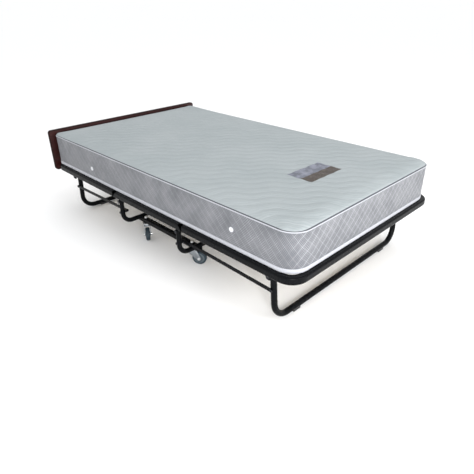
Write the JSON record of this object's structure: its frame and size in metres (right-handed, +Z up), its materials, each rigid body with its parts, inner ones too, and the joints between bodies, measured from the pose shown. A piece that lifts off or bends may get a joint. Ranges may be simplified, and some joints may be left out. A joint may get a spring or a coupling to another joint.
{
  "type": "folding guest bed on casters",
  "caption": "Folding guest bed: sprung mattress on two hinged slatted decks over a fixed stand with swivel casters, U-shaped legs that swing under by link bars, and a wooden end board.",
  "frame": {"origin": "on the floor, under the middle of the whole bed when open", "axes": "+X from the board (head) to the foot along the length, +Y to the left of someone lying on it, +Z up"},
  "size_m": [1.955, 1.15, 0.507],
  "materials": {
    "mattress_fabric": "woven damask, quilted",
    "slat_wood": "pale plywood, lacquered",
    "black_plastic": "moulded",
    "board_wood": "dark mahogany laminate, satin",
    "band_plastic": "smooth edge band",
    "tyre_rubber": "smooth grey",
    "core_plastic": "moulded",
    "zinc_steel": "bright zinc plated",
    "bright_steel": "zinc plated",
    "black_steel": "gloss powder coat"
  },
  "bodies": {
    "stand": {"hoop_head": "black_steel", "hoop_foot": "black_steel", "base_bars": "black_steel", "centre_rails": "black_steel", "centre_cross_tubes": "black_steel", "centre_slats": "slat_wood", "hinge_bolts": "bright_steel", "link_pins": "bright_steel", "caster_stems": "zinc_steel", "mattress_centre": "mattress_fabric"},
    "head_deck": {"head_end_tube": "black_steel", "head_rails": "black_steel", "head_cross_tubes": "black_steel", "head_slats": "slat_wood", "head_slat_clips": "black_plastic", "head_hinge_plates": "black_steel", "head_leg_plates": "black_steel", "head_leg_bolts": "bright_steel", "head_lock_stud": "bright_steel", "mattress_head": "mattress_fabric", "board": "board_wood", "board_band": "band_plastic", "board_screws": "bright_steel"},
    "head_leg_frame": {"head_leg": "black_steel", "head_leg_pads": "black_plastic"},
    "head_link_bars": {"head_links": "black_steel", "head_link_rivets": "bright_steel"},
    "foot_deck": {"foot_end_tube": "black_steel", "foot_rails": "black_steel", "foot_cross_tubes": "black_steel", "foot_slats": "slat_wood", "foot_slat_clips": "black_plastic", "foot_hinge_plates": "black_steel", "foot_leg_plates": "black_steel", "foot_leg_bolts": "bright_steel", "foot_lock_stud": "bright_steel", "mattress_foot": "mattress_fabric"},
    "foot_leg_frame": {"foot_leg": "black_steel", "foot_leg_pads": "black_plastic"},
    "foot_link_bars": {"foot_links": "black_steel", "foot_link_rivets": "bright_steel"},
    "lock": {"lock_bar": "black_steel"},
    "caster_head_right_swivel": {"caster_head_right_fork": "zinc_steel", "caster_head_right_axle": "bright_steel"},
    "caster_head_right_wheel": {"caster_head_right_core": "core_plastic", "caster_head_right_tyre": "tyre_rubber"},
    "caster_foot_right_swivel": {"caster_foot_right_fork": "zinc_steel", "caster_foot_right_axle": "bright_steel"},
    "caster_foot_right_wheel": {"caster_foot_right_core": "core_plastic", "caster_foot_right_tyre": "tyre_rubber"},
    "caster_head_left_swivel": {"caster_head_left_fork": "zinc_steel", "caster_head_left_axle": "bright_steel"},
    "caster_head_left_wheel": {"caster_head_left_core": "core_plastic", "caster_head_left_tyre": "tyre_rubber"},
    "caster_foot_left_swivel": {"caster_foot_left_fork": "zinc_steel", "caster_foot_left_axle": "bright_steel"},
    "caster_foot_left_wheel": {"caster_foot_left_core": "core_plastic", "caster_foot_left_tyre": "tyre_rubber"}
  },
  "joints": [
    {"name": "head_fold", "type": "hinge", "parent": "stand", "child": "head_deck", "pos_m": [-0.2385, 0, 0.25], "axis": [0, 1, 0], "range_deg": [0, 90], "deforming": ["mattress_centre"]},
    {"name": "head_leg_swing", "type": "hinge", "parent": "head_deck", "child": "head_leg_frame", "pos_m": [-0.7985, 0, 0.24], "axis": [0, 1, 0], "range_deg": [-66, 0]},
    {"name": "head_link_swing", "type": "hinge", "parent": "stand", "child": "head_link_bars", "pos_m": [-0.2385, 0, 0.18475], "axis": [0, 1, 0], "range_deg": [0, 87.2]},
    {"name": "foot_fold", "type": "hinge", "parent": "stand", "child": "foot_deck", "pos_m": [0.2615, 0, 0.25], "axis": [0, -1, 0], "range_deg": [0, 90], "deforming": ["mattress_centre"]},
    {"name": "foot_leg_swing", "type": "hinge", "parent": "foot_deck", "child": "foot_leg_frame", "pos_m": [0.8215, 0, 0.24], "axis": [0, -1, 0], "range_deg": [-66, 0]},
    {"name": "foot_link_swing", "type": "hinge", "parent": "stand", "child": "foot_link_bars", "pos_m": [0.2615, 0, 0.18475], "axis": [0, -1, 0], "range_deg": [0, 87.2]},
    {"name": "lock_swing", "type": "hinge", "parent": "head_deck", "child": "lock", "pos_m": [-0.7985, 0.567, 0.282], "axis": [0, -1, 0], "range_deg": [0, 90]},
    {"name": "caster_head_right_turn", "type": "hinge", "parent": "stand", "child": "caster_head_right_swivel", "pos_m": [-0.1935, -0.43, 0.085], "axis": [0, 0, 1], "continuous": true},
    {"name": "caster_head_right_roll", "type": "hinge", "parent": "caster_head_right_swivel", "child": "caster_head_right_wheel", "pos_m": [-0.16499, -0.44852, 0.0375], "axis": [0.5446, 0.8387, 0], "continuous": true},
    {"name": "caster_foot_right_turn", "type": "hinge", "parent": "stand", "child": "caster_foot_right_swivel", "pos_m": [0.2165, -0.43, 0.085], "axis": [0, 0, 1], "continuous": true},
    {"name": "caster_foot_right_roll", "type": "hinge", "parent": "caster_foot_right_swivel", "child": "caster_foot_right_wheel", "pos_m": [0.24435, -0.4105, 0.0375], "axis": [-0.5736, 0.8192, 0], "continuous": true},
    {"name": "caster_head_left_turn", "type": "hinge", "parent": "stand", "child": "caster_head_left_swivel", "pos_m": [-0.1935, 0.43, 0.085], "axis": [0, 0, 1], "continuous": true},
    {"name": "caster_head_left_roll", "type": "hinge", "parent": "caster_head_left_swivel", "child": "caster_head_left_wheel", "pos_m": [-0.16116, 0.41949, 0.0375], "axis": [0.309, 0.9511, 0], "continuous": true},
    {"name": "caster_foot_left_turn", "type": "hinge", "parent": "stand", "child": "caster_foot_left_swivel", "pos_m": [0.2165, 0.43, 0.085], "axis": [0, 0, 1], "continuous": true},
    {"name": "caster_foot_left_roll", "type": "hinge", "parent": "caster_foot_left_swivel", "child": "caster_foot_left_wheel", "pos_m": [0.24949, 0.43823, 0.0375], "axis": [-0.2419, 0.9703, 0], "continuous": true}
  ],
  "couplings": [
    {"joint": "head_leg_swing", "follows": "head_fold", "ratio": -0.73333},
    {"joint": "head_link_swing", "follows": "head_fold", "ratio": 0.96809},
    {"joint": "foot_leg_swing", "follows": "foot_fold", "ratio": -0.73333},
    {"joint": "foot_link_swing", "follows": "foot_fold", "ratio": 0.96809}
  ]
}
